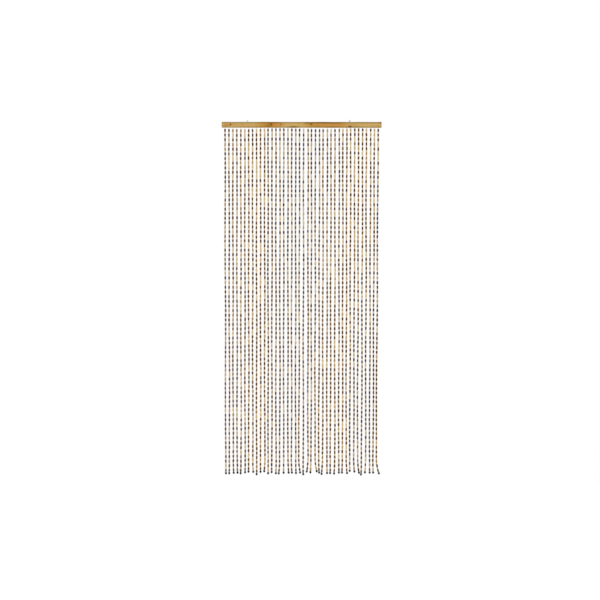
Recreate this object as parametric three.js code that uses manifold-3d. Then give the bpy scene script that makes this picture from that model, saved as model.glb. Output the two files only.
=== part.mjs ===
// Bamboo door curtain: a flat pine header bar, two screw eyes in its top edge, and one row of threaded strands that
// hang from its underside. Millimetres, +Z up, the front faces -Y, and X runs along the bar.
// The origin is the middle of the bar's top edge, where the curtain is held up.

import * as THREE from 'three';
import { mergeVertices } from 'three/addons/utils/BufferGeometryUtils.js';
import Module from 'manifold-3d';

const wasm = await Module();
wasm.setup();

// Header bar
const BAR_WIDTH = 900;
const BAR_DEPTH = 12;
const BAR_HEIGHT = 32;
const BAR_EASE = 1.2;
const BAR_EASE_STEPS = 3;

// Clearance between one fitted piece and the next
const FIT = 0.3;

// Screw eyes: x along the bar, ring and shank sizes, and how far each reaches above and into the bar
const EYES = [
  { name: 'hanging_eye_left', x: -305 },
  { name: 'hanging_eye_right', x: 270 },
];
const EYE_BORE = 6.2;
const EYE_WIRE = 1.6;
const EYE_TOP = 11.2;
const EYE_SHANK_INTO_BAR = 9;
const EYE_RING_STEPS = 16;
const EYE_WIRE_SIDES = 8;

// Backing strip that holds the strands' roots, in a stopped groove along the middle of the bar's underside
const GROOVE_END_MARGIN = 10;
const GROOVE_DEPTH = 4;
const GROOVE_WIDTH = 5;

// Strands. Lengths run down from the bar's underside.
const STRAND_PITCH = 22.13;
const STRAND_SIDE = 6.4;
const THREAD_SIDE = 2.8;
const ROOT_IN_STRIP = 2;
const THREAD_SHOWN = 6;
const SHOULDER = 1.2;
const THREADED_LENGTH = 1946;
const BODY_STEPS = 6;

// End of a strand: the last beads swing sideways, then a bare bit of thread carries the ball.
const TAIL_LENGTH = 78;
const TAIL_STEPS = 3;
const BALL_GAP = 4;
const BALL_DIAMETER = 10;

// Square section of the ball from its top down: height off its middle and half side, as shares of the radius
const BALL_ROWS = [
  { height: 0.94, side: 0.3 },
  { height: 0.62, side: 0.74 },
  { height: 0, side: 0.95 },
  { height: -0.62, side: 0.74 },
  { height: -1, side: 0.25 },
];

// Slight waves of a hanging strand, sideways and in depth. Each strand starts at another point of the wave.
const WAVE_LENGTH = 870;
const WAVE_SIDEWAYS = 1.1;
const WAVE_IN_DEPTH = 1.2;
const WAVE_STARTS_OVER = 260;
const WAVE_PHASE_STEP = 0.618;

// One row for each strand, left to right. root: sideways off the even pitch at the bar. lean: sideways off plumb
// at the last tube. swing: sideways of the end ball from there. drop: how much lower than the mean the ball hangs.
const STRANDS = [
  { root: 0, lean: 1, swing: 0, drop: 3.5 },
  { root: 0, lean: 0.5, swing: -1, drop: 3.5 },
  { root: 0, lean: -1, swing: 3, drop: 1 },
  { root: 0, lean: 0, swing: 1, drop: 0 },
  { root: 0.5, lean: -0.5, swing: -1.5, drop: 4 },
  { root: 1, lean: -0.5, swing: -1, drop: -2 },
  { root: 0.5, lean: -1, swing: -1, drop: -6 },
  { root: 0.5, lean: -0.5, swing: 3, drop: -5 },
  { root: 0.5, lean: -0.5, swing: -1, drop: 8.5 },
  { root: 1, lean: -0.5, swing: 0.5, drop: -5 },
  { root: 1.5, lean: 0.5, swing: -3.5, drop: -8.5 },
  { root: -1, lean: 0.5, swing: -1, drop: 3.5 },
  { root: -0.5, lean: -1.5, swing: 0, drop: -3 },
  { root: -1, lean: 0.5, swing: -1.5, drop: 3.5 },
  { root: 0, lean: -1, swing: -5, drop: 4 },
  { root: -0.5, lean: -1, swing: 0.5, drop: 0.5 },
  { root: 0.5, lean: 1, swing: 3, drop: -0.5 },
  { root: 0, lean: -0.5, swing: 3.5, drop: -0.5 },
  { root: 0, lean: 0.5, swing: 1.5, drop: 2 },
  { root: 0, lean: -3, swing: 7, drop: -1 },
  { root: 0.5, lean: -1, swing: 1, drop: 9 },
  { root: 3.5, lean: 1, swing: -7.5, drop: -7 },
  { root: 0.5, lean: 0, swing: -3, drop: -2 },
  { root: 0.5, lean: -0.5, swing: 10, drop: -8.5 },
  { root: 1.5, lean: -2, swing: 2, drop: -1 },
  { root: -0.5, lean: 0, swing: -4.5, drop: 7 },
  { root: 1.5, lean: -0.5, swing: 1, drop: 2 },
  { root: 0, lean: -0.5, swing: -1, drop: 2 },
  { root: 0, lean: 2, swing: -3, drop: 4.5 },
  { root: 2, lean: 0.5, swing: 0.5, drop: -1 },
  { root: 0.5, lean: 1.5, swing: -1.5, drop: -1 },
  { root: 0.5, lean: -0.5, swing: 5.5, drop: 2 },
  { root: 0, lean: -0.5, swing: 0, drop: -10.5 },
  { root: 1, lean: -1.5, swing: 5, drop: -7 },
  { root: 0, lean: -1, swing: 8.5, drop: -0.5 },
  { root: 1, lean: -1, swing: -3, drop: 10 },
  { root: 0, lean: 0.5, swing: -3, drop: -2 },
  { root: 2, lean: -1, swing: 0.5, drop: -1 },
  { root: 1, lean: -2, swing: 2, drop: -1 },
  { root: 0, lean: -5.5, swing: 15, drop: 3.5 },
];

const PINE = new THREE.MeshStandardMaterial({ color: 0xc3984e, roughness: 0.55, metalness: 0 });
const STEEL = new THREE.MeshStandardMaterial({ color: 0x9a9a98, roughness: 0.35, metalness: 1 });
const STAINED_BAMBOO = new THREE.MeshStandardMaterial({ color: 0x6e5640, roughness: 0.5, metalness: 0 });

/** A closed geometry as a solid that can be joined or cut. */
function solidOf(geometry) {
  const bare = geometry.clone();
  bare.deleteAttribute('normal');
  bare.deleteAttribute('uv');
  const merged = mergeVertices(bare);
  return new wasm.Manifold(new wasm.Mesh({
    numProp: 3,
    vertProperties: new Float32Array(merged.attributes.position.array),
    triVerts: new Uint32Array(merged.index.array),
  }));
}

/** A joined or cut solid as a named mesh. */
function meshOf(name, solid, material) {
  const cut = solid.getMesh();
  const indexed = new THREE.BufferGeometry();
  indexed.setAttribute('position', new THREE.BufferAttribute(cut.vertProperties, 3));
  indexed.setIndex(new THREE.BufferAttribute(cut.triVerts, 1));
  const geometry = indexed.toNonIndexed();
  geometry.computeVertexNormals();
  const mesh = new THREE.Mesh(geometry, material);
  mesh.name = name;
  return mesh;
}

/** A rectangle with rounded corners, centred on the origin. */
function easedRectangle(width, height, radius) {
  const right = width / 2 - radius;
  const top = height / 2 - radius;
  const outline = new THREE.Shape();
  outline.absarc(right, top, radius, 0, Math.PI / 2);
  outline.absarc(-right, top, radius, Math.PI / 2, Math.PI);
  outline.absarc(-right, -top, radius, Math.PI, 1.5 * Math.PI);
  outline.absarc(right, -top, radius, 1.5 * Math.PI, 2 * Math.PI);
  outline.closePath();
  return outline;
}

/** The lath, with the groove for the strip and a pilot hole for each eye's shank. */
function headerBar() {
  const section = easedRectangle(BAR_DEPTH, BAR_HEIGHT, BAR_EASE);
  const lath = new THREE.ExtrudeGeometry(section, {
    depth: BAR_WIDTH,
    steps: 1,
    bevelEnabled: false,
    curveSegments: BAR_EASE_STEPS,
  });
  const alongX = new THREE.Matrix4().makeBasis(
    new THREE.Vector3(0, 1, 0),
    new THREE.Vector3(0, 0, 1),
    new THREE.Vector3(1, 0, 0),
  );
  lath.applyMatrix4(alongX);
  lath.translate(-BAR_WIDTH / 2, 0, -BAR_HEIGHT / 2);

  const grooveCut = 2 * GROOVE_DEPTH;
  const groove = new THREE.BoxGeometry(BAR_WIDTH - 2 * GROOVE_END_MARGIN, GROOVE_WIDTH, grooveCut);
  groove.translate(0, 0, -BAR_HEIGHT - grooveCut / 2 + GROOVE_DEPTH);
  let bar = solidOf(lath).subtract(solidOf(groove));

  const holeRadius = EYE_WIRE / 2 + FIT;
  const holeDepth = EYE_SHANK_INTO_BAR + FIT;
  for (const eye of EYES) {
    const hole = new THREE.CylinderGeometry(holeRadius, holeRadius, 2 * holeDepth, EYE_WIRE_SIDES);
    hole.rotateX(Math.PI / 2);
    hole.translate(eye.x, 0, 0);
    bar = bar.subtract(solidOf(hole));
  }
  return meshOf('header_bar', bar, PINE);
}

/** A wire ring that faces the front, on a shank that goes down into the bar. */
function screwEye(eye) {
  const ringRadius = (EYE_BORE + EYE_WIRE) / 2;
  const ringHeight = EYE_TOP - EYE_BORE / 2 - EYE_WIRE;
  const ring = new THREE.TorusGeometry(ringRadius, EYE_WIRE / 2, EYE_WIRE_SIDES, EYE_RING_STEPS);
  ring.rotateX(Math.PI / 2);
  ring.translate(0, 0, ringHeight);

  const shankTop = ringHeight - ringRadius;
  const shankLength = shankTop + EYE_SHANK_INTO_BAR;
  const shank = new THREE.CylinderGeometry(EYE_WIRE / 2, EYE_WIRE / 2, shankLength, EYE_WIRE_SIDES);
  shank.rotateX(Math.PI / 2);
  shank.translate(0, 0, shankTop - shankLength / 2);

  const mesh = meshOf(eye.name, solidOf(ring).add(solidOf(shank)), STEEL);
  mesh.position.x = eye.x;
  return mesh;
}

/** The middle of a strand at a length down from the bar's underside: [x, y, z]. */
function strandPoint(index, length) {
  const strand = STRANDS[index];
  const threaded = THREADED_LENGTH + strand.drop;
  const ballMiddle = threaded + BALL_GAP + BALL_DIAMETER / 2;
  const even = (index - (STRANDS.length - 1) / 2) * STRAND_PITCH;
  const down = Math.max(length, 0);
  const growth = Math.min(down / WAVE_STARTS_OVER, 1);
  const turn = 2 * Math.PI * (down / WAVE_LENGTH + WAVE_PHASE_STEP * index);
  const tailShare = Math.max(down - threaded + TAIL_LENGTH, 0) / (ballMiddle - threaded + TAIL_LENGTH);
  const sideways = strand.lean * down / threaded + strand.swing * tailShare ** 2;
  const x = even + strand.root + sideways + WAVE_SIDEWAYS * growth * Math.sin(turn);
  const y = WAVE_IN_DEPTH * growth * Math.cos(WAVE_PHASE_STEP * turn);
  return [x, y, -BAR_HEIGHT - length];
}

/** The rows of a strand from its root to the bottom of its ball: length down and half side. */
function strandRows(index) {
  const threaded = THREADED_LENGTH + STRANDS[index].drop;
  const beads = STRAND_SIDE / 2;
  const thread = THREAD_SIDE / 2;
  const firstBead = THREAD_SHOWN + SHOULDER;
  const tailStart = threaded - TAIL_LENGTH;
  const rows = [
    { length: -ROOT_IN_STRIP, half: thread },
    { length: THREAD_SHOWN, half: thread },
  ];
  for (let step = 0; step <= BODY_STEPS; step += 1) {
    rows.push({ length: firstBead + (tailStart - firstBead) * step / BODY_STEPS, half: beads });
  }
  for (let step = 1; step <= TAIL_STEPS; step += 1) {
    rows.push({ length: tailStart + TAIL_LENGTH * step / TAIL_STEPS, half: beads });
  }
  rows.push({ length: threaded + SHOULDER, half: thread });
  const radius = BALL_DIAMETER / 2;
  const ballMiddle = threaded + BALL_GAP + radius;
  for (const row of BALL_ROWS) {
    rows.push({ length: ballMiddle - row.height * radius, half: row.side * radius });
  }
  return rows;
}

/** A strand: a four-sided cylinder whose rings of points are moved to the strand's rows. */
function strandGeometry(index) {
  const rows = strandRows(index);
  const last = rows.length - 1;
  const geometry = new THREE.CylinderGeometry(Math.SQRT2, Math.SQRT2, 1, 4, last, false, Math.PI / 4);
  geometry.rotateX(Math.PI / 2);
  const points = geometry.attributes.position;
  for (let i = 0; i < points.count; i += 1) {
    const row = rows[Math.round((0.5 - points.getZ(i)) * last)];
    const [x, y, z] = strandPoint(index, row.length);
    points.setXYZ(i, x + row.half * points.getX(i), y + row.half * points.getY(i), z);
  }
  return geometry;
}

/** All the strands, with their roots fused into the backing strip. */
function beadStrands() {
  const stripHeight = GROOVE_DEPTH - FIT;
  const strip = new THREE.BoxGeometry(
    BAR_WIDTH - 2 * (GROOVE_END_MARGIN + FIT),
    GROOVE_WIDTH - 2 * FIT,
    stripHeight,
  );
  strip.translate(0, 0, -BAR_HEIGHT + stripHeight / 2);
  let joined = solidOf(strip);
  STRANDS.forEach((strand, index) => {
    joined = joined.add(solidOf(strandGeometry(index)));
  });
  return meshOf('bead_strands', joined, STAINED_BAMBOO);
}

const curtain = new THREE.Group();
curtain.add(headerBar());
for (const eye of EYES) {
  curtain.add(screwEye(eye));
}
curtain.add(beadStrands());

export default curtain;
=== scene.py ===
"""Bamboo door curtain: the fine pieces and finishes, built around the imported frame.

Metres, +Z up, the front faces -Y. The origin is the middle of the header bar's top edge. Forty threads hang
from the bar in one row. Each carries stained bamboo tubes and pale wooden beads in turn, and ends in a dark
wooden ball. The tables of wood marks, hangs and turned profiles are in millimetres.
"""

from __future__ import annotations

import logging
import math
from dataclasses import dataclass
from enum import Enum
from typing import Any, Iterable, Mapping, Sequence, Union

import bmesh
import bpy
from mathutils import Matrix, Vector


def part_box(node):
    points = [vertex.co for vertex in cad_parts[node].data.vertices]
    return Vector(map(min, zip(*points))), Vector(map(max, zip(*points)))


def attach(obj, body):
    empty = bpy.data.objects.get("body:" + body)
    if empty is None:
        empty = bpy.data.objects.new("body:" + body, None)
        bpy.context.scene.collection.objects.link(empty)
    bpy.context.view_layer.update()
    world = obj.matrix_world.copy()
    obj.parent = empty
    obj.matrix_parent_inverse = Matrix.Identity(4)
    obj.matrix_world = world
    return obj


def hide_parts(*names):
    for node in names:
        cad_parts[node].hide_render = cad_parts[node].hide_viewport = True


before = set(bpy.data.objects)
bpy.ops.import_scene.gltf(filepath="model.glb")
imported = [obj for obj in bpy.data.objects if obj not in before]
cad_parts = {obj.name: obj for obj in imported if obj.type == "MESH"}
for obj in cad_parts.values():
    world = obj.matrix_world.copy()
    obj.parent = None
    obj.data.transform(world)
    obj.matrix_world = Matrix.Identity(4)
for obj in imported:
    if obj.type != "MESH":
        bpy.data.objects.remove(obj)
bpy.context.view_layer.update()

LOG = logging.getLogger("door_curtain")
BODY = "root"
MM = 0.001
TURN = 2 * math.pi
GOLDEN = 0.618

Colour = tuple[float, float, float, float]
Stops = tuple[tuple[float, Colour], ...]
Place = tuple[Vector, Vector]
Groups = Mapping[str, Sequence[Place]]
Settings = Mapping[str, Any]
Sockets = Mapping[Any, Any]


def srgb(red: int, green: int, blue: int) -> Colour:
    """A colour as a paint chart gives it, 0 to 255, as the linear colour that shaders take."""
    shares = (value / 255 for value in (red, green, blue))
    linear = (s / 12.92 if s <= 0.04045 else ((s + 0.055) / 1.055) ** 2.4 for s in shares)
    return (*linear, 1.0)


class Wire:
    """A node's output in a Python expression: each operator adds a Math node."""

    def __init__(self, sketch: NodeSketch, socket: bpy.types.NodeSocket) -> None:
        """Keeps the output and the tree that it is in."""
        self.sketch = sketch
        self.socket = socket

    def __add__(self, other: Value) -> Wire:
        """Sum."""
        return self.sketch.math("ADD", self, other)

    def __sub__(self, other: Value) -> Wire:
        """Difference."""
        return self.sketch.math("SUBTRACT", self, other)

    def __rsub__(self, other: Value) -> Wire:
        """Difference, with the number first."""
        return self.sketch.math("SUBTRACT", other, self)

    def __mul__(self, other: Value) -> Wire:
        """Product."""
        return self.sketch.math("MULTIPLY", self, other)

    def __truediv__(self, other: Value) -> Wire:
        """Quotient."""
        return self.sketch.math("DIVIDE", self, other)

    def __rtruediv__(self, other: Value) -> Wire:
        """Quotient, with the number first."""
        return self.sketch.math("DIVIDE", other, self)

    def __pow__(self, other: Value) -> Wire:
        """Power."""
        return self.sketch.math("POWER", self, other)

    def __rpow__(self, other: Value) -> Wire:
        """Power, with the number first."""
        return self.sketch.math("POWER", other, self)

    def __abs__(self) -> Wire:
        """Size without its sign."""
        return self.sketch.math("ABSOLUTE", self)

    __radd__ = __add__
    __rmul__ = __mul__

    def clamped(self) -> Wire:
        """The same value, kept between 0 and 1."""
        return self.sketch.math("ADD", self, 0.0, clamp=True)

    def wave(self) -> Wire:
        """A wave between 0 and 1 that repeats each time the value grows by a full turn."""
        return self.sketch.math("SINE", self) * 0.5 + 0.5

    def swing(self, strength: float) -> Wire:
        """A noise moved to swing about 0, and strengthened."""
        return (self - 0.5) * strength

    def peaks(self, strength: float, level: float = 0.5) -> Wire:
        """How far a noise rises over a level, as a factor to mix by."""
        return (self - level).clamped() * strength


Value = Union[Wire, float]


class NodeSketch:
    """A node tree as it is written. One method adds any node, and the others call it."""

    def __init__(self, tree: bpy.types.NodeTree) -> None:
        """Keeps the tree."""
        self.tree = tree

    def node(self, kind: str, settings: Settings, sockets: Sockets) -> bpy.types.Node:
        """Adds a node.

        Args:
            kind: the node's type.
            settings: its own properties, which are set first. "stops" fills a colour ramp.
            sockets: for each input's name or number, the wire that feeds it or the value that it holds.

        Returns:
            The new node.
        """
        made = self.tree.nodes.new(kind)
        for name, value in settings.items():
            if name == "stops":
                fill_ramp(made.color_ramp, value)
            else:
                setattr(made, name, value)
        for key, value in sockets.items():
            if isinstance(value, Wire):
                self.tree.links.new(value.socket, made.inputs[key])
            else:
                made.inputs[key].default_value = value
        return made

    def wire(self, kind: str, settings: Settings, sockets: Sockets, output: int | str = 0) -> Wire:
        """Adds a node as node() does, and returns one of its outputs."""
        return Wire(self, self.node(kind, settings, sockets).outputs[output])

    def math(self, operation: str, *terms: Value, clamp: bool = False) -> Wire:
        """Adds a Math node.

        Args:
            operation: the Math node's operation.
            terms: its one, two or three terms in order.
            clamp: whether the result is kept between 0 and 1.

        Returns:
            The node's result.
        """
        settings = {"operation": operation, "use_clamp": clamp}
        return self.wire("ShaderNodeMath", settings, dict(enumerate(terms)))

    def highest(self, values: Iterable[Wire]) -> Wire:
        """The highest of some values, or 0 where all of them are lower."""
        top: Value = 0.0
        for value in values:
            top = self.math("MAXIMUM", value, top)
        return top

    def vector(self, x: Value, y: Value, z: Value) -> Wire:
        """Three numbers as a vector."""
        return self.wire("ShaderNodeCombineXYZ", {}, {0: x, 1: y, 2: z})


def fill_ramp(ramp: bpy.types.ColorRamp, stops: Stops) -> None:
    """Gives a colour ramp its stops, each a position from 0 to 1 and a colour."""
    while len(ramp.elements) < len(stops):
        ramp.elements.new(1.0)
    for element, (position, colour) in zip(ramp.elements, stops):
        element.position = position
        element.color = colour


@dataclass(frozen=True)
class Grain:
    """Noise stretched as a grain is: its waves a metre along X, Y and Z, and its layers of detail."""

    x: float
    y: float
    z: float
    layers: float = 3.0


class Shader(NodeSketch):
    """A material as it is written, with the few steps that these finishes share."""

    def __init__(self, name: str) -> None:
        """Starts an empty material."""
        self.material = bpy.data.materials.new(name)
        self.material.use_nodes = True
        super().__init__(self.material.node_tree)
        self.tree.nodes.clear()

    def place(self) -> Wire:
        """The point on the piece, in the frame's metres."""
        return self.wire("ShaderNodeTexCoord", {}, {}, "Object")

    def axes(self, vector: Wire) -> tuple[Wire, ...]:
        """The three numbers of a vector."""
        split = self.node("ShaderNodeSeparateXYZ", {}, {0: vector})
        return tuple(Wire(self, output) for output in split.outputs)

    def attribute(self, name: str, output: str) -> Wire:
        """A value that the mesh itself carries."""
        return self.wire("ShaderNodeAttribute", {"attribute_name": name}, {}, output)

    def noise(self, grain: Grain, place: Wire, shift: Wire | Sequence[float] = (0, 0, 0)) -> Wire:
        """Soft noise, about 0.25 to 0.75.

        Args:
            grain: how it is stretched.
            place: the point that it is read at.
            shift: how many waves it is moved by, so that pieces don't share one pattern.

        Returns:
            The noise.
        """
        sockets = {0: place, 1: (grain.x, grain.y, grain.z), 2: shift}
        waves = self.wire("ShaderNodeVectorMath", {"operation": "MULTIPLY_ADD"}, sockets)
        return self.wire("ShaderNodeTexNoise", {}, {"Vector": waves, "Scale": 1.0, "Detail": grain.layers})

    def ramp(self, factor: Wire, stops: Stops) -> Wire:
        """A colour read off a scale."""
        return self.wire("ShaderNodeValToRGB", {"stops": stops}, {0: factor})

    def mix(self, factor: Value, first: Wire | Colour, second: Wire | Colour, blend: str = "MIX") -> Wire:
        """Two colours mixed by a factor."""
        settings = {"data_type": "RGBA", "blend_type": blend}
        return self.wire("ShaderNodeMix", settings, {0: factor, 6: first, 7: second}, 2)

    def tinged(self, factor: Value, colour: Wire, tinge: Wire | Colour) -> Wire:
        """A colour multiplied by another, as far as the factor says."""
        return self.mix(factor, colour, tinge, "MULTIPLY")

    def bump(self, height: Wire, depth: float) -> Wire:
        """A relief's normal, with the depth in metres."""
        return self.wire("ShaderNodeBump", {}, {"Height": height, "Distance": depth})

    def surface(self, **sockets: Any) -> bpy.types.Material:
        """Ends the material in one surface shader.

        Args:
            sockets: the shader's inputs, with an underscore for each space in a name.

        Returns:
            The finished material.
        """
        named = {name.replace("_", " "): value for name, value in sockets.items()}
        shader = self.wire("ShaderNodeBsdfPrincipled", {}, named)
        self.node("ShaderNodeOutputMaterial", {}, {"Surface": shader})
        return self.material


@dataclass(frozen=True)
class WoodMark:
    """A mark in the bar's wood.

    Attributes:
        x: its middle along the bar, in millimetres.
        z: its middle's height, in millimetres.
        half_length: half its length along the bar, in millimetres.
        half_height: half its height, in millimetres.
        strength: how plainly it shows, from 0 to 1.
        hollow: whether it is a thin ring and not a patch.
        ring_thinness: how sharply a hollow mark fades on both sides of its ring.
    """

    x: float
    z: float
    half_length: float
    half_height: float
    strength: float
    hollow: bool = False
    ring_thinness: float = 1.7

    def spread(self, x: Wire, z: Wire) -> Wire:
        """How far a point lies from the mark, in half sizes of the mark."""
        across = (x - self.x * MM) / (self.half_length * MM)
        up = (z - self.z * MM) / (self.half_height * MM)
        from_middle = (across * across + up * up) ** 0.5
        return abs(from_middle - 1) * self.ring_thinness if self.hollow else from_middle


@dataclass(frozen=True)
class PineFinish:
    """Varnished knotty pine whose colour drifts between straw and amber along the lath.

    Attributes:
        tones: the wood's colours from the bar's left end, 0, to its right end, 1.
        tone_drift: how far the tones stray along the bar, as a share of its length.
        edge_shade_band: painted shade: how far down the front the darker top edge fades out.
        edge_shade_unevenness: how far the grain moves the place where that painted shade fades out.
        low_shade_width: the lower edge's band of painted shade, as a share of the top edge's.
        low_shade_strength: its darkness, as a share of the top edge's.
        edge_shade_falloff: the power by which the top edge's band fades. Below 1 it stays dark for longer.
        low_shade_falloff: the same for the lower edge.
        end_band: how far in from its ends the bar shows dull end grain.
        end_falloff: the power by which that fades.
        mark_reach: where a mark fades out, in half sizes of it.
        raggedness: how uneven the marks' edges are.
        ring_pace: how closely the growth rings follow each other.
        knot_ring_pace: the same for the rings inside a knot.
        streak_base: how strongly a streak shows between the fibres.
        streak_fibres: how much more strongly it shows along them.
        relief: the height of the grain.
        pore_relief: the share of it that the pores take, as fibre_relief and late_relief for the others.
    """

    name: str = "varnished_pine"
    straw: Colour = srgb(204, 172, 101)
    amber: Colour = srgb(193, 147, 63)
    deep_amber: Colour = srgb(189, 135, 41)
    blush: Colour = srgb(206, 140, 64)
    streak: Colour = srgb(138, 94, 28)
    knot: Colour = srgb(122, 74, 4)
    end_grain: Colour = srgb(150, 134, 78)
    late_wood: Colour = srgb(224, 188, 140)
    # Painted shade: the tint that darkens the front along the top and bottom edges.
    edge_shade_tint: Colour = srgb(196, 206, 232)
    tones: Stops = (
        (0.00, straw),
        (0.21, straw),
        (0.25, amber),
        (0.30, deep_amber),
        (0.35, amber),
        (0.40, straw),
        (0.50, straw),
        (0.55, amber),
        (0.74, amber),
        (0.80, straw),
        (1.00, straw),
    )
    tone_drift: float = 0.06
    edge_shade_band: float = 11 * MM
    edge_shade_unevenness: float = 0.6
    low_shade_width: float = 0.8
    low_shade_strength: float = 0.5
    edge_shade_falloff: float = 0.5
    low_shade_falloff: float = 0.7
    end_band: float = 4.5 * MM
    end_falloff: float = 0.5
    mark_reach: float = 1.3
    raggedness: float = 0.9
    ring_pace: float = 52.0
    knot_ring_pace: float = 24.0
    ring_strength: float = 0.5
    streak_base: float = 0.1
    streak_fibres: float = 1.8
    fibre_strength: float = 1.6
    pore_strength: float = 1.2
    knot_strength: float = 1.4
    end_strength: float = 0.75
    relief: float = 0.15 * MM
    pore_relief: float = 0.6
    fibre_relief: float = 0.5
    late_relief: float = 0.2
    roughness: float = 0.4
    roughness_spread: float = 0.2
    shine: float = 0.18
    varnish: float = 0.06
    varnish_roughness: float = 0.25
    ragged: Grain = Grain(180, 150, 420)
    pores: Grain = Grain(40, 900, 2200)
    fibres: Grain = Grain(5, 300, 420, 4.0)
    layers: Grain = Grain(1.6, 60, 120, 2.0)
    drift: Grain = Grain(9, 0, 0, 2.0)
    knots: tuple[WoodMark, ...] = (
        WoodMark(-400.5, -15.0, 6.0, 5.2, 1.0),
        WoodMark(-380.0, -14.0, 7.0, 2.4, 0.45),
        WoodMark(-335.0, -14.0, 8.0, 2.4, 0.35),
        WoodMark(-169.5, -14.2, 6.8, 6.0, 1.0),
        WoodMark(-177.0, -11.2, 5.0, 3.6, 0.55),
        WoodMark(-116.5, -14.8, 7.0, 5.0, 0.5),
        WoodMark(55.0, -13.8, 6.6, 5.2, 1.0),
        WoodMark(44.0, -9.5, 8.0, 3.0, 0.4),
        WoodMark(272.2, -27.4, 9.0, 7.0, 1.0),
        WoodMark(443.0, -4.5, 4.8, 4.8, 0.8),
        WoodMark(-201.0, -21.5, 7.0, 4.0, 0.35),
    )
    streaks: tuple[WoodMark, ...] = (
        WoodMark(-181.5, -20.5, 8.5, 6.2, 0.7, hollow=True),
        WoodMark(-426.0, -22.5, 20.0, 7.0, 0.35),
        WoodMark(-163.0, -5.0, 48.0, 6.0, 0.35),
        WoodMark(-46.0, -28.5, 34.0, 5.6, 1.0),
        WoodMark(28.0, -7.0, 18.0, 4.0, 0.6),
        WoodMark(132.0, -5.0, 100.0, 6.6, 0.65),
        WoodMark(90.0, -22.5, 19.0, 3.6, 0.5),
        WoodMark(170.0, -29.0, 45.0, 4.4, 0.45),
        WoodMark(301.0, -29.0, 60.0, 4.6, 0.6),
    )
    blushes: tuple[WoodMark, ...] = (
        WoodMark(-423.0, -15.0, 17.0, 10.0, 0.6),
        WoodMark(-315.0, -26.5, 46.0, 5.0, 0.55),
        WoodMark(-143.0, -14.0, 45.0, 8.0, 0.6),
        WoodMark(140.0, -16.0, 85.0, 6.0, 0.6),
    )

    def made(self, width: float, height: float) -> bpy.types.Material:
        """The material, for a lath of this width and height that hangs below the origin."""
        shader = Shader(self.name)
        place = shader.place()
        x, y, z = shader.axes(place)
        ragged = shader.noise(self.ragged, place).swing(self.raggedness)
        spreads = {mark: mark.spread(x, z) for mark in (*self.knots, *self.streaks, *self.blushes)}
        spots = {mark: (self.mark_reach - spreads[mark] - ragged) * mark.strength for mark in spreads}
        knots = shader.highest(spots[mark] for mark in self.knots)
        streaks = shader.highest(spots[mark] for mark in self.streaks)
        blushes = shader.highest(spots[mark] for mark in self.blushes)
        flow = z
        for knot in self.knots:
            flow = flow - (z - knot.z * MM) * knot.strength / (1 + spreads[knot] * spreads[knot])
        grown = shader.vector(x, y, flow)
        pores = shader.noise(self.pores, grown)
        fibres = shader.noise(self.fibres, grown)
        layers = shader.noise(self.layers, grown)
        drift = shader.noise(self.drift, place).swing(self.tone_drift)
        tone = shader.ramp(x / width + 0.5 + drift, self.tones)
        late = (layers * self.ring_pace).wave()
        ringed = shader.tinged(late ** 2 * self.ring_strength, tone, self.late_wood)
        blushed = shader.mix(blushes.clamped(), ringed, self.blush)
        grained = shader.mix(fibres.peaks(self.fibre_strength), blushed, self.deep_amber)
        streak_grain = self.streak_base + fibres * self.streak_fibres
        streaked = shader.mix((streaks * streak_grain).clamped(), grained, self.streak)
        knot_rings = (knots * self.knot_ring_pace).wave()
        knot_wood = shader.mix(knot_rings * self.ring_strength, self.knot, self.streak)
        knotty = shader.mix((knots * self.knot_strength).clamped(), streaked, knot_wood)
        pored = shader.tinged(pores.peaks(self.pore_strength), knotty, self.late_wood)
        # Painted shade: the front is darkened along its top and bottom edges, as if the eased edges were in
        # shade.
        top = (z + self.edge_shade_band) / self.edge_shade_band + fibres.swing(self.edge_shade_unevenness)
        low_shade_band = self.edge_shade_band * self.low_shade_width
        low = (low_shade_band - height - z) / low_shade_band + layers.swing(1.0)
        low_edge_shade = low.clamped() ** self.low_shade_falloff * self.low_shade_strength
        edges = shader.highest((top.clamped() ** self.edge_shade_falloff, low_edge_shade))
        edge_shaded = shader.tinged(edges, pored, self.edge_shade_tint)
        end = ((abs(x) - (width / 2 - self.end_band)) / self.end_band).clamped() ** self.end_falloff
        raised = pores * self.pore_relief + fibres * self.fibre_relief - late * self.late_relief
        return shader.surface(
            Base_Color=shader.mix(end * self.end_strength, edge_shaded, self.end_grain),
            Roughness=self.roughness + pores * self.roughness_spread,
            Normal=shader.bump(raised, self.relief),
            Specular_IOR_Level=self.shine,
            Coat_Weight=self.varnish,
            Coat_Roughness=self.varnish_roughness,
        )


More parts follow.
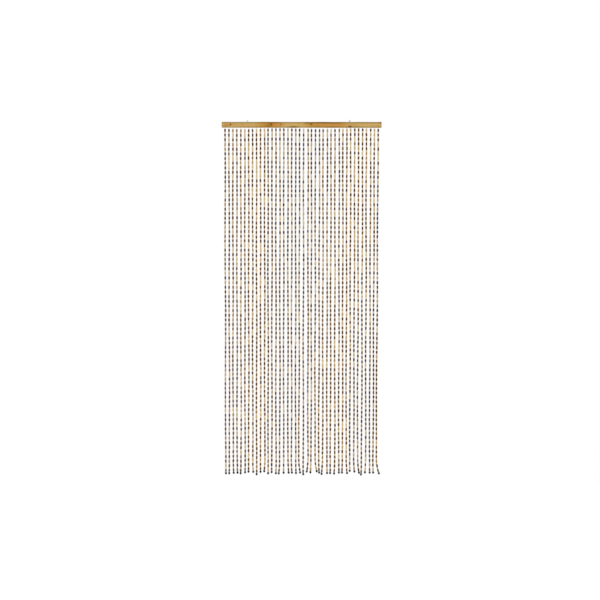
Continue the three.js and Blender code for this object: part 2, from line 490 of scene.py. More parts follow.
@dataclass(frozen=True)
class BambooFinish:
    """Bamboo tubes stained one by one, from espresso to tan, with raw fibres at the cut ends.

    Attributes:
        stains: the stain's colours, from the darkest tube to the lightest.
        middle_height: the height at which the painted shade leaves a tube's own stain as it is.
        painted_shade_per_metre: painted shade: how far the stain shifts along its scale for each metre of
            height, so that lower tubes come out darker.
        lot_spread: how strongly the cast changes from one lot of tubes to the next.
        own_share: the part of the cast that is each tube's own.
        apart: how many waves the darkest and the lightest tube's patterns lie apart.
        relief: the height of the fibres.
    """

    name: str = "stained_cane"
    stains: Stops = (
        (0.00, srgb(68, 39, 2)),
        (0.45, srgb(82, 50, 4)),
        (0.65, srgb(108, 75, 22)),
        (0.73, srgb(148, 118, 70)),
        (0.81, srgb(185, 159, 115)),
        (1.00, srgb(219, 201, 164)),
    )
    red_cast: Colour = srgb(255, 234, 222)
    olive_cast: Colour = srgb(240, 248, 216)
    fibre_shade: Colour = srgb(170, 160, 150)
    raw_end: Colour = srgb(168, 140, 104)
    middle_height: float = -1.0
    painted_shade_per_metre: float = 0.10
    blotch_strength: float = 0.16
    lot_spread: float = 2.4
    own_share: float = 0.25
    fibre_strength: float = 1.3
    raw_strength: float = 0.75
    apart: float = 7.0
    relief: float = 0.1 * MM
    roughness: float = 0.36
    roughness_spread: float = 0.22
    shine: float = 0.12
    fibres: Grain = Grain(1300, 1300, 55)
    blotches: Grain = Grain(160, 160, 90, 2.0)
    lots: Grain = Grain(25, 0, 1.8, 1.0)

    def made(self) -> bpy.types.Material:
        """The material. Each tube carries its stain and cast as a tint, and a mark on its cut ends."""
        shader = Shader(self.name)
        stain, own_cast, _ = shader.axes(shader.attribute("tint", "Vector"))
        cut = shader.attribute("cut", "Fac")
        place = shader.place()
        _, _, z = shader.axes(place)
        shift = stain * self.apart
        fibres = shader.noise(self.fibres, place, shader.vector(shift, 0.0, 0.0))
        blotches = shader.noise(self.blotches, place, shader.vector(0.0, shift, 0.0))
        # Painted shade: the lower a tube hangs, the further its stain moves towards the dark end of the
        # scale.
        painted_height_shade = (z - self.middle_height) * self.painted_shade_per_metre
        skin = shader.ramp(stain + painted_height_shade + blotches.swing(self.blotch_strength), self.stains)
        lot = shader.noise(self.lots, place).swing(self.lot_spread) + 0.5
        cast = (own_cast * self.own_share + lot * (1 - self.own_share)).clamped()
        warmed = shader.tinged(1.0, skin, shader.mix(cast, self.red_cast, self.olive_cast))
        streaked = shader.tinged(fibres.peaks(self.fibre_strength), warmed, self.fibre_shade)
        return shader.surface(
            Base_Color=shader.mix((cut * self.raw_strength).clamped(), streaked, self.raw_end),
            Roughness=self.roughness + fibres * self.roughness_spread,
            Normal=shader.bump(fibres, self.relief),
            Specular_IOR_Level=self.shine,
        )


@dataclass(frozen=True)
class TurnedWoodFinish:
    """Small turned wooden pieces: beads or balls, each a little lighter or darker than the next.

    Attributes:
        grain_level: how much of the noise stays plain wood between the darker grain.
        sawn_strength: how much darker the cut ends are.
        apart: how many waves the grain of one piece may lie from another's.
        relief: the height of the grain.
    """

    name: str
    light: Colour
    dark: Colour
    grain_shade: Colour
    shine: float
    roughness: float
    roughness_spread: float = 0.15
    grain_level: float = 0.45
    grain_strength: float = 1.4
    sawn_strength: float = 0.5
    apart: float = 9.0
    relief: float = 0.08 * MM
    grain: Grain = Grain(900, 500, 140)

    def made(self) -> bpy.types.Material:
        """The material. Each piece carries its shade and a turn of its grain as a tint."""
        shader = Shader(self.name)
        shade, turn, _ = shader.axes(shader.attribute("tint", "Vector"))
        cut = shader.attribute("cut", "Fac")
        grain = shader.noise(self.grain, shader.place(), shader.vector(turn * self.apart, 0.0, 0.0))
        body = shader.mix(shade, self.dark, self.light)
        grained = shader.tinged(grain.peaks(self.grain_strength, self.grain_level), body, self.grain_shade)
        return shader.surface(
            Base_Color=shader.tinged(cut * self.sawn_strength, grained, self.grain_shade),
            Roughness=self.roughness + grain * self.roughness_spread,
            Normal=shader.bump(grain, self.relief),
            Specular_IOR_Level=self.shine,
        )


PALE_WOOD = TurnedWoodFinish(
    name="pale_turned_wood",
    light=srgb(231, 205, 161),
    dark=srgb(212, 178, 130),
    grain_shade=srgb(222, 204, 184),
    shine=0.3,
    roughness=0.5,
)

DARK_WOOD = TurnedWoodFinish(
    name="dark_turned_wood",
    light=srgb(38, 25, 17),
    dark=srgb(18, 11, 7),
    grain_shade=srgb(170, 160, 150),
    shine=0.15,
    roughness=0.3,
)


@dataclass(frozen=True)
class ThreadFinish:
    """Twisted thread: a slanting ply with darker grooves."""

    name: str = "twisted_thread"
    light: Colour = srgb(176, 152, 118)
    # Painted shade: the darker colour of the grooves between the plies.
    groove_shade: Colour = srgb(112, 90, 64)
    ply_length: float = 2.4 * MM
    ply_slant: float = 1.2
    relief: float = 0.1 * MM
    roughness: float = 0.9
    roughness_spread: float = 0.1

    def made(self) -> bpy.types.Material:
        """The material."""
        shader = Shader(self.name)
        x, y, z = shader.axes(shader.place())
        ply = ((z + (x + y) * self.ply_slant) * (TURN / self.ply_length)).wave()
        return shader.surface(
            # Painted shade: the grooves between the plies are coloured darker.
            Base_Color=shader.mix(ply, self.groove_shade, self.light),
            Roughness=self.roughness - ply * self.roughness_spread,
            Normal=shader.bump(ply, self.relief),
        )


@dataclass(frozen=True)
class SteelFinish:
    """Zinc-plated wire with a faint bloom. A darker copy of it is painted shade."""

    name: str
    bright: Colour
    dull: Colour
    relief: float = 0.03 * MM
    roughness: float = 0.25
    roughness_spread: float = 0.3
    metallic: float = 0.9
    bloom: Grain = Grain(700, 700, 700)

    def made(self) -> bpy.types.Material:
        """The material."""
        shader = Shader(self.name)
        bloom = shader.noise(self.bloom, shader.place())
        return shader.surface(
            Base_Color=shader.mix(bloom, self.bright, self.dull),
            Roughness=self.roughness + bloom * self.roughness_spread,
            Metallic=self.metallic,
            Normal=shader.bump(bloom, self.relief),
        )


@dataclass(frozen=True)
class Hang:
    """How one strand hangs, in millimetres.

    Attributes:
        root: sideways off the even pitch at the bar.
        lean: sideways off plumb at the last tube.
        swing: sideways of the end ball from there.
        drop: how much lower than the mean the ball hangs.
    """

    root: float
    lean: float
    swing: float
    drop: float


HANGS = (
    Hang(0, 1, 0, 3.5),
    Hang(0, 0.5, -1, 3.5),
    Hang(0, -1, 3, 1),
    Hang(0, 0, 1, 0),
    Hang(0.5, -0.5, -1.5, 4),
    Hang(1, -0.5, -1, -2),
    Hang(0.5, -1, -1, -6),
    Hang(0.5, -0.5, 3, -5),
    Hang(0.5, -0.5, -1, 8.5),
    Hang(1, -0.5, 0.5, -5),
    Hang(1.5, 0.5, -3.5, -8.5),
    Hang(-1, 0.5, -1, 3.5),
    Hang(-0.5, -1.5, 0, -3),
    Hang(-1, 0.5, -1.5, 3.5),
    Hang(0, -1, -5, 4),
    Hang(-0.5, -1, 0.5, 0.5),
    Hang(0.5, 1, 3, -0.5),
    Hang(0, -0.5, 3.5, -0.5),
    Hang(0, 0.5, 1.5, 2),
    Hang(0, -3, 7, -1),
    Hang(0.5, -1, 1, 9),
    Hang(3.5, 1, -7.5, -7),
    Hang(0.5, 0, -3, -2),
    Hang(0.5, -0.5, 10, -8.5),
    Hang(1.5, -2, 2, -1),
    Hang(-0.5, 0, -4.5, 7),
    Hang(1.5, -0.5, 1, 2),
    Hang(0, -0.5, -1, 2),
    Hang(0, 2, -3, 4.5),
    Hang(2, 0.5, 0.5, -1),
    Hang(0.5, 1.5, -1.5, -1),
    Hang(0.5, -0.5, 5.5, 2),
    Hang(0, -0.5, 0, -10.5),
    Hang(1, -1.5, 5, -7),
    Hang(0, -1, 7.5, -0.5),
    Hang(1, -1, -2, 10),
    Hang(0, 0.5, -3, -2),
    Hang(2, -1, 0.5, -1),
    Hang(1, -2, 2, -1),
    Hang(0, -5.5, 15, 3.5),
)


@dataclass(frozen=True)
class Strand:
    """One thread from the bar to its end ball, and where its beads sit.

    Attributes:
        index: its number from the left, from 0.
        hang: how it hangs.
        underside: the height of the bar's underside.
        pitch: from one strand to the next.
        mean_length: from the bar's underside to the bottom of the last tube, on an even strand.
        thread_shown: bare thread between the bar and the first tube.
        tail: the stretch above the last tube's bottom over which the swing begins.
        wave_starts_over: the stretch below the bar over which the waves grow to their full size.
        slip: how far pieces lie up or down from even places. It fades out over as long a stretch at the
            strand's end.
        slip_wave: the length over which that repeats.
        slip_phase: how far, in turns, it moves on from strand to strand.
    """

    index: int
    hang: Hang
    underside: float
    pitch: float = 22.13 * MM
    mean_length: float = 1947.5 * MM
    thread_shown: float = 6.3 * MM
    tail: float = 78 * MM
    ball_gap: float = 1.2 * MM
    ball_radius: float = 6.8 * MM
    wave_length: float = 870 * MM
    wave_sideways: float = 1.1 * MM
    wave_in_depth: float = 0.3 * MM
    wave_starts_over: float = 260 * MM
    slip: float = 2.6 * MM
    slip_wave: float = 980 * MM
    slip_phase: float = 1.7 * GOLDEN

    @property
    def threaded(self) -> float:
        """Length from the bar's underside to the bottom of the last tube."""
        return self.mean_length + self.hang.drop * MM

    @property
    def ball_middle(self) -> float:
        """Length from the bar's underside to the middle of the end ball."""
        return self.threaded + self.ball_gap + self.ball_radius

    def point(self, length: float) -> Vector:
        """The thread's middle at a length down from the bar's underside."""
        even = (self.index - (len(HANGS) - 1) / 2) * self.pitch
        down = max(length, 0.0)
        growth = min(down / self.wave_starts_over, 1.0)
        turn = TURN * (down / self.wave_length + GOLDEN * self.index)
        tail_top = self.threaded - self.tail
        tail_share = max(down - tail_top, 0.0) / (self.ball_middle - tail_top)
        lean = self.hang.lean * down / self.threaded
        swing = self.hang.swing * tail_share**2
        x = even + (self.hang.root + lean + swing) * MM + self.wave_sideways * growth * math.sin(turn)
        y = self.wave_in_depth * growth * math.cos(GOLDEN * turn)
        return Vector((x, y, self.underside - length))

    def place(self, length: float) -> Place:
        """The thread's middle at a length down, and the direction up the thread there."""
        step = 1 * MM
        aim = self.point(length - step) - self.point(length + step)
        return self.point(length), aim.normalized()

    def bead_lengths(self, count: int, tube_length: float) -> list[float]:
        """Middles of the tubes and, between them, of the pale beads.

        Args:
            count: how many tubes are on the strand.
            tube_length: a tube's length, which sets the first and last middle.

        Returns:
            Lengths down from the bar's underside, for a tube, a pale bead, a tube and so on.
        """
        first = self.thread_shown + tube_length / 2
        last = self.threaded - tube_length / 2
        steps = 2 * count - 2
        lengths = []
        for step in range(steps + 1):
            even = first + (last - first) * step / steps
            settled = min((last - even) / self.wave_starts_over, 1.0)
            slipped = math.sin(TURN * (even / self.slip_wave + self.index * self.slip_phase))
            lengths.append(even + self.slip * settled * slipped)
        return lengths


@dataclass(frozen=True)
class Ring:
    """A ring of a turned piece, in millimetres: radius, height off its middle, and 1 on a cut end."""

    radius: float
    height: float
    cut: float = 0.0


def turned_profile(*upper: Ring) -> tuple[Ring, ...]:
    """A profile that is the same above and below its middle, from its upper rings."""
    lower = [Ring(ring.radius, -ring.height, ring.cut) for ring in reversed(upper) if ring.height > 0.0]
    return (*upper, *lower)


def skin(shape: bmesh.types.BMesh, loops: Sequence[Sequence[bmesh.types.BMVert]]) -> None:
    """Joins each closed loop of points to the next one with faces."""
    for first, second in zip(loops, loops[1:]):
        for side, corner in enumerate(first):
            after = (side + 1) % len(first)
            shape.faces.new((corner, second[side], second[after], first[after]))


def turned_mesh(name: str, rings: Sequence[Ring], sides: int, crease: float) -> bpy.types.Mesh:
    """A turned piece with a bore: rings of points joined in a closed loop, the last one to the first.

    Args:
        name: the mesh's name.
        rings: from the bore's top over the outside to the bore's bottom.
        sides: points round each ring.
        crease: a ring stays crisp where the profile turns by more than this, in degrees.

    Returns:
        The mesh, with its cut ends marked by an attribute.
    """
    shape = bmesh.new()
    mark = shape.verts.layers.float.new("cut")
    loops = []
    for ring in rings:
        radius = ring.radius * MM
        loop = []
        for side in range(sides):
            angle = TURN * side / sides
            point = (radius * math.cos(angle), radius * math.sin(angle), ring.height * MM)
            vertex = shape.verts.new(point)
            vertex[mark] = ring.cut
            loop.append(vertex)
        loops.append(loop)
    skin(shape, loops + loops[:1])
    crisp = []
    profile = [Vector((ring.radius, ring.height)) for ring in rings]
    for number, loop in enumerate(loops):
        into = profile[number] - profile[number - 1]
        onward = profile[(number + 1) % len(profile)] - profile[number]
        if math.degrees(into.angle(onward)) > crease:
            crisp += [shape.edges.get((loop[side - 1], loop[side])) for side in range(sides)]
    return finished_mesh(name, shape, crisp)


def sharp_edges(shape: bmesh.types.BMesh, crease: float = 30.0) -> list[bmesh.types.BMEdge]:
    """The edges where two faces meet at more than an angle in degrees."""
    return [edge for edge in shape.edges if edge.calc_face_angle(0.0) > math.radians(crease)]


def finished_mesh(
    name: str,
    shape: bmesh.types.BMesh,
    crisp: Iterable[bmesh.types.BMEdge],
) -> bpy.types.Mesh:
    """A mesh from a bmesh, with normals out, smooth faces and a few crisp edges."""
    bmesh.ops.recalc_face_normals(shape, faces=shape.faces)
    for face in shape.faces:
        face.smooth = True
    for edge in crisp:
        edge.smooth = False
    mesh = bpy.data.meshes.new(name)
    shape.to_mesh(mesh)
    shape.free()
    return mesh


def linked_object(name: str, mesh: bpy.types.Mesh) -> bpy.types.Object:
    """An object in the scene that holds a mesh."""
    made = bpy.data.objects.new(name, mesh)
    bpy.context.scene.collection.objects.link(made)
    return made


def keep_result(piece: bpy.types.Object) -> None:
    """Makes what an object's modifiers show its plain mesh, and removes them."""
    depsgraph = bpy.context.evaluated_depsgraph_get()
    result = bpy.data.meshes.new_from_object(piece.evaluated_get(depsgraph), depsgraph=depsgraph)
    piece.modifiers.clear()
    piece.data = result


class SocketKind(Enum):
    """The kinds of named input that the geometry trees take."""

    GEOMETRY = "NodeSocketGeometry"
    OBJECT = "NodeSocketObject"
    MATERIAL = "NodeSocketMaterial"
    NUMBER = "NodeSocketFloat"
    COUNT = "NodeSocketInt"


class GeometryTree(NodeSketch):
    """A Geometry Nodes tree with named inputs, run on a carrier object and turned into a plain mesh."""

    def __init__(self, name: str, inputs: Mapping[str, SocketKind]) -> None:
        """Starts a tree.

        Args:
            name: the tree's name.
            inputs: its inputs by name, besides the carrier's own geometry and the finish.
        """
        group = bpy.data.node_groups.new(name, "GeometryNodeTree")
        super().__init__(group)
        self.name = name
        self.identifiers: dict[str, str] = {}
        labels = {"Carrier": SocketKind.GEOMETRY, "Finish": SocketKind.MATERIAL, **inputs}
        for label, kind in labels.items():
            socket = group.interface.new_socket(label, in_out="INPUT", socket_type=kind.value)
            self.identifiers[label] = socket.identifier
        group.interface.new_socket("Result", in_out="OUTPUT", socket_type=SocketKind.GEOMETRY.value)
        self.inputs = self.node("NodeGroupInput", {}, {})

    def given(self, label: str) -> Wire:
        """One of the tree's inputs."""
        return Wire(self, self.inputs.outputs[label])

    def end(self, geometry: Wire) -> None:
        """Makes all copies real, gives the result its finish and ends the tree."""
        real = self.wire("GeometryNodeRealizeInstances", {}, {"Geometry": geometry})
        sockets = {"Geometry": real, "Material": self.given("Finish")}
        self.node("NodeGroupOutput", {}, {0: self.wire("GeometryNodeSetMaterial", {}, sockets)})

    def run(self, carrier: bpy.types.Object, values: Mapping[str, Any]) -> bpy.types.Object:
        """Runs the tree on a carrier and keeps only the plain mesh.

        Args:
            carrier: the object that holds the points or lines.
            values: the tree's inputs by name.

        Returns:
            The carrier, which now holds the result and no modifier.
        """
        modifier = carrier.modifiers.new(self.name, "NODES")
        modifier.node_group = self.tree
        for label, value in values.items():
            modifier[self.identifiers[label]] = value
        keep_result(carrier)
        return carrier


class ThreadedPieces(GeometryTree):
    """Sets a copy of one turned piece on every point, a little uneven as threaded pieces are."""

    def __init__(self) -> None:
        """Writes the tree. The order of its random numbers sets how each copy comes out."""
        numbers = ("Narrowest", "Shortest", "Tilt", "Play")
        inputs = {"Piece": SocketKind.OBJECT, "Seed": SocketKind.COUNT}
        super().__init__("threaded_pieces", {**inputs, **dict.fromkeys(numbers, SocketKind.NUMBER)})
        self.draws = 0
        width = self.chance(self.given("Narrowest"), 1.0)
        length = self.chance(self.given("Shortest"), 1.0)
        settings = {"data_type": "FLOAT_VECTOR"}
        aim = self.wire("GeometryNodeInputNamedAttribute", settings, {"Name": "aim"})
        upright = self.wire("FunctionNodeAlignRotationToVector", {"axis": "Z"}, {"Vector": aim})
        piece = self.wire("GeometryNodeObjectInfo", {}, {"Object": self.given("Piece")}, "Geometry")
        sockets = {
            "Points": self.given("Carrier"),
            "Instance": piece,
            "Rotation": upright,
            "Scale": self.vector(width, width, length),
        }
        placed = self.wire("GeometryNodeInstanceOnPoints", {}, sockets)
        tilt = self.given("Tilt")
        leaning = self.vector(self.either_way(tilt), self.either_way(tilt), self.chance(0.0, TURN))
        sockets = {"Instances": placed, "Rotation": leaning}
        turned = self.wire("GeometryNodeRotateInstances", {}, sockets)
        play = self.given("Play")
        aside = self.vector(self.either_way(play), self.either_way(play), 0.0)
        sockets = {"Instances": turned, "Translation": aside}
        moved = self.wire("GeometryNodeTranslateInstances", {}, sockets)
        tint = self.vector(self.chance(0.0, 1.0), self.chance(0.0, 1.0), 0.0)
        settings = {"data_type": "FLOAT_VECTOR", "domain": "INSTANCE"}
        sockets = {"Geometry": moved, "Name": "tint", "Value": tint}
        self.end(self.wire("GeometryNodeStoreNamedAttribute", settings, sockets))

    def chance(self, low: Value, high: Value) -> Wire:
        """The next random number for each copy, from the tree's own seed."""
        sockets = {2: low, 3: high, "Seed": self.given("Seed") + self.draws}
        self.draws += 1
        return self.wire("FunctionNodeRandomValue", {"data_type": "FLOAT"}, sockets, 1)

    def either_way(self, reach: Wire) -> Wire:
        """The next random number, up to a reach on either side of 0."""
        return self.chance(0 - reach, reach)


class WireAlongLines(GeometryTree):
    """Gives every line of the carrier a round section, closed at both ends."""

    def __init__(self) -> None:
        """Writes the tree."""
        super().__init__("wire_along_lines", {"Radius": SocketKind.NUMBER, "Sides": SocketKind.COUNT})
        lines = self.wire("GeometryNodeMeshToCurve", {}, {"Mesh": self.given("Carrier")})
        sockets = {"Resolution": self.given("Sides"), "Radius": self.given("Radius")}
        section = self.wire("GeometryNodeCurvePrimitiveCircle", {"mode": "RADIUS"}, sockets)
        sockets = {"Curve": lines, "Profile Curve": section, "Fill Caps": True}
        self.end(self.wire("GeometryNodeCurveToMesh", {}, sockets))


def point_carrier(name: str, places: Sequence[Place]) -> bpy.types.Object:
    """An object of loose points, each with the way it aims."""
    mesh = bpy.data.meshes.new(name)
    mesh.from_pydata([tuple(point) for point, _ in places], [], [])
    aims = mesh.attributes.new("aim", "FLOAT_VECTOR", "POINT")
    aims.data.foreach_set("vector", [value for _, aim in places for value in aim])
    return linked_object(name, mesh)


def line_carrier(name: str, lines: Iterable[Sequence[Vector]]) -> bpy.types.Object:
    """An object of open lines, each through its own points."""
    points: list[Vector] = []
    edges: list[tuple[int, int]] = []
    for line in lines:
        start = len(points)
        points.extend(line)
        edges.extend((start + step, start + step + 1) for step in range(len(line) - 1))
    mesh = bpy.data.meshes.new(name)
    mesh.from_pydata([tuple(point) for point in points], edges, [])
    return linked_object(name, mesh)


def seat(piece: bpy.types.Object, replaced: Sequence[str] = ()) -> None:
    """Fastens a finished piece to the frame.

    Args:
        piece: the piece, with its place in its mesh.
        replaced: the frame's nodes that it stands for.
    """
    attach(piece, BODY)
    if replaced:
        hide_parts(*replaced)
    LOG.info("%s: %d faces", piece.name, len(piece.data.polygons))


@dataclass
class FramePiece:
    """A piece that stands for one node of the frame, and takes its place from it."""

    node: str

    def __post_init__(self) -> None:
        """Reads the node's box from the frame."""
        self.low, self.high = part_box(self.node)
        self.middle = (self.low + self.high) / 2
        self.half = (self.high - self.low) / 2


@dataclass
class HeaderBar(FramePiece):
    """The lath: eased edges, a slightly wavy sawn surface, and the drilled holes.

    Attributes:
        ease: the radius of the eased edges.
        end_inset: how much the section shrinks at the very ends.
        station: the length between sections.
        waviness: how far the sawn faces stray up or down.
        waves: the radians a metre of the two waves in them.
        wave_phase: how far the second wave is ahead.
    """

    node: str = "header_bar"
    finish: PineFinish = PineFinish()
    ease: float = 1.2 * MM
    ease_steps: int = 4
    end_inset: float = 0.72 * MM
    station: float = 10 * MM
    waviness: float = 0.18 * MM
    waves: tuple[float, float] = (23.0, 57.0)
    wave_phase: float = 1.3
    hole_radius: float = 1.5 * MM
    hole_depth: float = 8 * MM
    hole_sides: int = 12
    pilot_radius: float = 1.0 * MM

    def lift(self, x: float) -> float:
        """How far the sawn lath lies above its true height at a place along it."""
        first, second = self.waves
        return self.waviness * (math.sin(x * first) + math.sin(x * second + self.wave_phase)) / 2

    def section(self, inset: float) -> list[tuple[float, float]]:
        """The eased outline across the lath, shrunk by inset: (y, z) from the back's top corner round."""
        radius = self.ease - inset
        outline = []
        for quarter, (side_y, side_z) in enumerate(((1, 1), (-1, 1), (-1, -1), (1, -1))):
            corner_y = self.middle.y + side_y * (self.half.y - self.ease)
            corner_z = self.middle.z + side_z * (self.half.z - self.ease)
            for step in range(self.ease_steps + 1):
                angle = TURN / 4 * (quarter + step / self.ease_steps)
                outline.append((corner_y + radius * math.cos(angle), corner_z + radius * math.sin(angle)))
        return outline

    def lath(self) -> bpy.types.Object:
        """The lath before it is drilled."""
        start = self.low.x + self.ease
        length = 2 * (self.half.x - self.ease)
        steps = round(length / self.station)
        rows = [(self.low.x, self.end_inset)]
        rows += [(start + length * step / steps, 0.0) for step in range(steps + 1)]
        rows += [(self.high.x, self.end_inset)]
        shape = bmesh.new()
        loops = []
        for x, inset in rows:
            lift = self.lift(x)
            loops.append([shape.verts.new((x, y, z + lift)) for y, z in self.section(inset)])
        skin(shape, loops)
        shape.faces.new(loops[0])
        shape.faces.new(loops[-1])
        return linked_object("bar_lath", finished_mesh("bar_lath", shape, sharp_edges(shape)))

    def drill(self, holes: Iterable[tuple[float, float, float]]) -> bpy.types.Object:
        """The drills: cylinders half in the lath.

        Args:
            holes: for each, its x, the height of the face that it enters, and its radius.

        Returns:
            One object that holds them all.
        """
        shape = bmesh.new()
        for x, z, radius in holes:
            made = bmesh.ops.create_cone(
                shape,
                cap_ends=True,
                segments=self.hole_sides,
                radius1=radius,
                radius2=radius,
                depth=2 * self.hole_depth,
            )
            bmesh.ops.translate(shape, verts=made["verts"], vec=(x, self.middle.y, z))
        return linked_object("drills", finished_mesh("drills", shape, sharp_edges(shape)))

    def build(self, threads_x: Iterable[float], eyes_x: Iterable[float]) -> None:
        """Builds the bar, drills it and seats it.

        Args:
            threads_x: where the threads go up into its underside.
            eyes_x: where the screw eyes go down into its top.
        """
        bar = self.lath()
        holes = [(x, self.low.z, self.hole_radius) for x in threads_x]
        holes += [(x, self.high.z, self.pilot_radius) for x in eyes_x]
        drills = self.drill(holes)
        cut = bar.modifiers.new("drilled", "BOOLEAN")
        cut.operation = "DIFFERENCE"
        cut.solver = "EXACT"
        cut.object = drills
        keep_result(bar)
        bpy.data.objects.remove(drills)
        bar.data.materials.clear()
        bar.data.materials.append(self.finish.made(2 * self.half.x, 2 * self.half.z))
        seat(bar, [self.node])


@dataclass
class ScrewEye(FramePiece):
    """A wire bent into a ring that nearly closes, on a shank that goes down into the bar.

    Attributes:
        finish: its plating.
        opening: the gap in the ring, as a share of a full turn.
        bend_radius: how far below the ring the shank begins to bend.
    """

    finish: SteelFinish
    wire_radius: float = 0.9 * MM
    wire_sides: int = 12
    ring_steps: int = 36
    opening: float = 0.07
    bend_radius: float = 1.3 * MM

    def line(self) -> list[Vector]:
        """The wire's middle, from the shank's tip round the ring, which starts and ends at its foot."""
        radius = self.half.x - self.wire_radius
        middle = Vector((self.middle.x, self.middle.y, self.high.z - self.wire_radius - radius))
        foot = middle.z - radius
        points = [Vector((middle.x, middle.y, z)) for z in (self.low.z, foot - self.bend_radius)]
        foot_angle = -TURN / 4
        for step in range(self.ring_steps + 1):
            round_share = self.opening / 2 + (1 - self.opening) * step / self.ring_steps
            angle = foot_angle + TURN * round_share
            points.append(middle + Vector((radius * math.cos(angle), 0.0, radius * math.sin(angle))))
        return points

    def build(self, tree: WireAlongLines) -> None:
        """Builds the eye and seats it."""
        values = {"Radius": self.wire_radius, "Sides": self.wire_sides, "Finish": self.finish.made()}
        eye = tree.run(line_carrier(self.node + "_wire", [self.line()]), values)
        seat(eye, [self.node])


@dataclass
class BeadKind:
    """One kind of turned piece on the threads.

    Attributes:
        name: its pieces' name.
        slot: the name of a material slot. It is not used.
        rings: its profile from the bore's top over the outside to the bore's bottom.
        sides: points round it.
        crease: where its profile turns by more than this, in degrees, it stays crisp.
        narrowest: its least width, as a share of the full one.
        shortest: its least length, as a share of the full one.
        tilt: how far it may lean on the thread, in degrees.
        play: how far it may sit off the thread's middle.
        seed: picks its random series.
        seeds_a_group: how many random numbers are kept for each group of pieces.
    """

    name: str
    slot: str
    rings: tuple[Ring, ...]
    sides: int
    crease: float
    narrowest: float
    shortest: float
    tilt: float
    play: float
    seed: int
    seeds_a_group: int = 20

    def build(self, tree: ThreadedPieces, material: bpy.types.Material, groups: Groups) -> None:
        """Builds one joined piece for each group of places, and seats it.

        Args:
            tree: the Geometry Nodes tree that sets copies on points.
            material: the finish.
            groups: for each group's name, where the copies go.
        """
        shape = turned_mesh(self.name, self.rings, self.sides, self.crease)
        pattern = linked_object(self.name + "_pattern", shape)
        pattern.data.materials.append(material)
        for number, (group, places) in enumerate(groups.items()):
            values = {
                "Piece": pattern,
                "Finish": material,
                "Narrowest": self.narrowest,
                "Shortest": self.shortest,
                "Tilt": math.radians(self.tilt),
                "Play": self.play,
                "Seed": self.seed + self.seeds_a_group * number,
            }
            seat(tree.run(point_carrier(f"{self.name}_{group}", places), values))
        bpy.data.objects.remove(pattern)


BAMBOO_TUBE = BeadKind(
    name="bamboo_tubes",
    slot="stained_bamboo",
    rings=turned_profile(Ring(1.6, 8.7, 1.0), Ring(4.2, 8.7, 1.0), Ring(4.85, 8.0), Ring(5.1, 0.0)),
    sides=10,
    crease=35.0,
    narrowest=0.88,
    shortest=0.9,
    tilt=2.6,
    play=0.4 * MM,
    seed=11,
)

PALE_BEAD = BeadKind(
    name="pale_beads",
    slot="pale_bead_wood",
    rings=turned_profile(Ring(1.2, 4.1, 1.0), Ring(3.1, 3.5), Ring(4.15, 1.9), Ring(4.4, 0.0)),
    sides=10,
    crease=60.0,
    narrowest=0.88,
    shortest=0.92,
    tilt=3.0,
    play=0.3 * MM,
    seed=211,
)

END_BALL = BeadKind(
    name="end_balls",
    slot="dark_ball_wood",
    rings=turned_profile(Ring(1.0, 6.8, 1.0), Ring(2.9, 6.5), Ring(5.1, 4.8), Ring(6.0, 2.0)),
    sides=14,
    crease=60.0,
    narrowest=0.97,
    shortest=0.96,
    tilt=2.0,
    play=0.1 * MM,
    seed=411,
)

THREAD_KNOT = BeadKind(
    name="thread_knots",
    slot="thread",
    rings=turned_profile(Ring(0.3, 1.0), Ring(1.1, 0.7), Ring(1.4, 0.0)),
    sides=8,
    crease=60.0,
    narrowest=0.85,
    shortest=0.85,
    tilt=12.0,
    play=0.0,
    seed=611,
)


@dataclass
class StrandRow:
    """All forty strands: threads, tubes, pale beads, end balls and knots.

    Attributes:
        underside: the height of the bar's underside.
        node: the frame's node that the threads stand for.
        groups: how many joined pieces the tubes make, and the pale beads too.
    """

    underside: float
    node: str = "bead_strands"
    tubes_per_strand: int = 75
    tube_length: float = 17.4 * MM
    groups: int = 4
    thread_radius: float = 0.6 * MM
    thread_sides: int = 6
    thread_steps: int = 76
    thread_into_bar: float = 7 * MM
    knot_below_ball: float = 0.7 * MM

    def __post_init__(self) -> None:
        """Makes the strands."""
        self.strands = [Strand(index, hang, self.underside) for index, hang in enumerate(HANGS)]

    def roots_x(self) -> list[float]:
        """Where each thread goes up into the bar."""
        return [strand.point(0.0).x for strand in self.strands]

    def every_second(self, first: int) -> Groups:
        """Places of every second piece on the threads, for a few strands at a time.

        Args:
            first: 0 for the tubes, and 1 for the pale beads between them.

        Returns:
            For each group's name, the places.
        """
        size = len(self.strands) // self.groups
        groups: dict[str, list[Place]] = {}
        for strand in self.strands:
            places = groups.setdefault(str(strand.index // size + 1), [])
            lengths = strand.bead_lengths(self.tubes_per_strand, self.tube_length)
            places.extend(strand.place(length) for length in lengths[first::2])
        return groups

    def at_ends(self, below: float) -> Groups:
        """One place for each strand, at a length below the middle of its end ball."""
        return {"all": [strand.place(strand.ball_middle + below) for strand in self.strands]}

    def threads(self, tree: WireAlongLines, material: bpy.types.Material) -> bpy.types.Object:
        """The threads, from inside the bar to the knot under each ball."""
        lines = []
        for strand in self.strands:
            bottom = strand.ball_middle + strand.ball_radius
            step = (bottom + self.thread_into_bar) / self.thread_steps
            downs = [step * number - self.thread_into_bar for number in range(self.thread_steps + 1)]
            lines.append([strand.point(down) for down in downs])
        values = {"Radius": self.thread_radius, "Sides": self.thread_sides, "Finish": material}
        return tree.run(line_carrier("threads", lines), values)

    def build(self, wire_tree: WireAlongLines) -> None:
        """Builds the strands and seats them. The threads stand for the frame's strands."""
        tree = ThreadedPieces()
        thread = ThreadFinish().made()
        seat(self.threads(wire_tree, thread), [self.node])
        knots = self.at_ends(Strand.ball_radius + self.knot_below_ball)
        BAMBOO_TUBE.build(tree, BambooFinish().made(), self.every_second(0))
        PALE_BEAD.build(tree, PALE_WOOD.made(), self.every_second(1))
        END_BALL.build(tree, DARK_WOOD.made(), self.at_ends(0.0))
        THREAD_KNOT.build(tree, thread, knots)


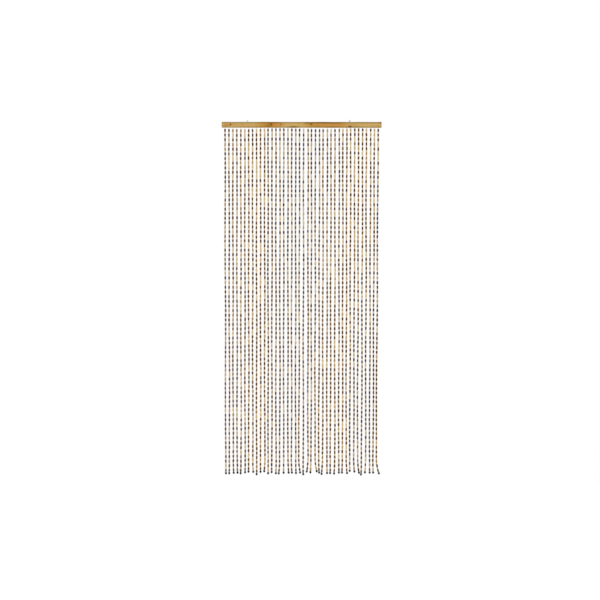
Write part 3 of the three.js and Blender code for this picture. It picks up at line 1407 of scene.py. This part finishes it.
@dataclass(frozen=True)
class SoftSun:
    """A far, wide lamp.

    Attributes:
        name: its name.
        around: where it stands round the curtain, in degrees from the front towards the right.
        above: how high it stands, in degrees.
        spread: how wide it is, in degrees.
        strength: the brightness that it gives a white sheet that faces it.
    """

    name: str
    around: float
    above: float
    spread: float
    strength: float

    def build(self) -> None:
        """Hangs the lamp."""
        data = bpy.data.lights.new(self.name, "SUN")
        data.energy = self.strength * math.pi
        data.angle = math.radians(self.spread)
        lamp = bpy.data.objects.new(self.name, data)
        turn = math.radians(self.around)
        lift = math.radians(self.above)
        level = Vector((-math.sin(turn), math.cos(turn), 0.0))
        towards = level * math.cos(lift) - Vector((0.0, 0.0, math.sin(lift)))
        lamp.rotation_euler = towards.to_track_quat("-Z", "Y").to_euler()
        bpy.context.scene.collection.objects.link(lamp)


@dataclass
class Studio:
    """Floor, light and camera of a plain white product picture. Angles are in degrees."""

    floor_height: float = -2.6
    floor_size: float = 5.2
    floor_white: float = 0.86
    floor_glow: float = 0.14
    floor_roughness: float = 0.9
    camera_distance: float = 6.044
    camera_height: float = -0.786
    camera_sideways: float = -0.0084
    camera_pitch: float = 2.06
    camera_roll: float = -0.05
    lens: float = 64.04
    sensor: float = 36.0
    backdrop: float = 1.0
    room_light: float = 0.42
    suns: tuple[SoftSun, ...] = (
        SoftSun("key", -32.0, 42.0, 50.0, 0.62),
        SoftSun("fill", 48.0, 20.0, 60.0, 0.2),
        SoftSun("back", 165.0, 48.0, 60.0, 0.42),
    )

    def camera(self) -> None:
        """A camera in front, a little above the middle and pitched slightly down."""
        data = bpy.data.cameras.new("camera")
        data.lens = self.lens
        data.sensor_width = self.sensor
        camera = bpy.data.objects.new("camera", data)
        camera.location = (self.camera_sideways, -self.camera_distance, self.camera_height)
        tilt = math.radians(90 - self.camera_pitch)
        camera.rotation_euler = (tilt, math.radians(self.camera_roll), 0.0)
        bpy.context.scene.collection.objects.link(camera)
        bpy.context.scene.camera = camera

    def floor(self) -> None:
        """A wide pale floor below the strands."""
        white = (self.floor_white, self.floor_white, self.floor_white, 1.0)
        material = Shader("pale_floor").surface(
            Base_Color=white,
            Roughness=self.floor_roughness,
            Specular_IOR_Level=0.0,
            Emission_Color=white,
            Emission_Strength=self.floor_glow,
        )
        half = self.floor_size / 2
        mesh = bpy.data.meshes.new("floor")
        corners = [(-half, -half), (half, -half), (half, half), (-half, half)]
        mesh.from_pydata([(x, y, self.floor_height) for x, y in corners], [], [(0, 1, 2, 3)])
        mesh.materials.append(material)
        linked_object("floor", mesh)

    def surroundings(self) -> None:
        """A plain white backdrop all round, in a room that is dimmer than the backdrop."""
        world = bpy.data.worlds.new("white_studio")
        world.use_nodes = True
        sketch = NodeSketch(world.node_tree)
        sketch.tree.nodes.clear()
        seen = sketch.wire("ShaderNodeLightPath", {}, {}, "Is Camera Ray")
        strength = seen * (self.backdrop - self.room_light) + self.room_light
        sockets = {"Color": (1.0, 1.0, 1.0, 1.0), "Strength": strength}
        light = sketch.wire("ShaderNodeBackground", {}, sockets)
        sketch.node("ShaderNodeOutputWorld", {}, {"Surface": light})
        bpy.context.scene.world = world

    def build(self) -> None:
        """Sets the scene up, with colours shown as they are."""
        bpy.context.scene.view_settings.view_transform = "Standard"
        self.camera()
        self.floor()
        self.surroundings()
        for sun in self.suns:
            sun.build()


def main() -> None:
    logging.basicConfig(level=logging.INFO, format="%(name)s %(message)s")
    Studio().build()
    wire_tree = WireAlongLines()
    bar = HeaderBar()
    row = StrandRow(underside=bar.low.z)
    plated = SteelFinish("plated_wire", srgb(178, 180, 180), srgb(120, 121, 122))
    # Painted shade: the right eye has the same plating as the left, made darker to stand in for shade.
    painted_shade_plating = SteelFinish("painted_shade_wire", srgb(60, 59, 57), srgb(30, 29, 28))
    eyes = (ScrewEye("hanging_eye_left", plated), ScrewEye("hanging_eye_right", painted_shade_plating))
    bar.build(row.roots_x(), [eye.middle.x for eye in eyes])
    for eye in eyes:
        eye.build(wire_tree)
    row.build(wire_tree)


if __name__ == "__main__":
    main()
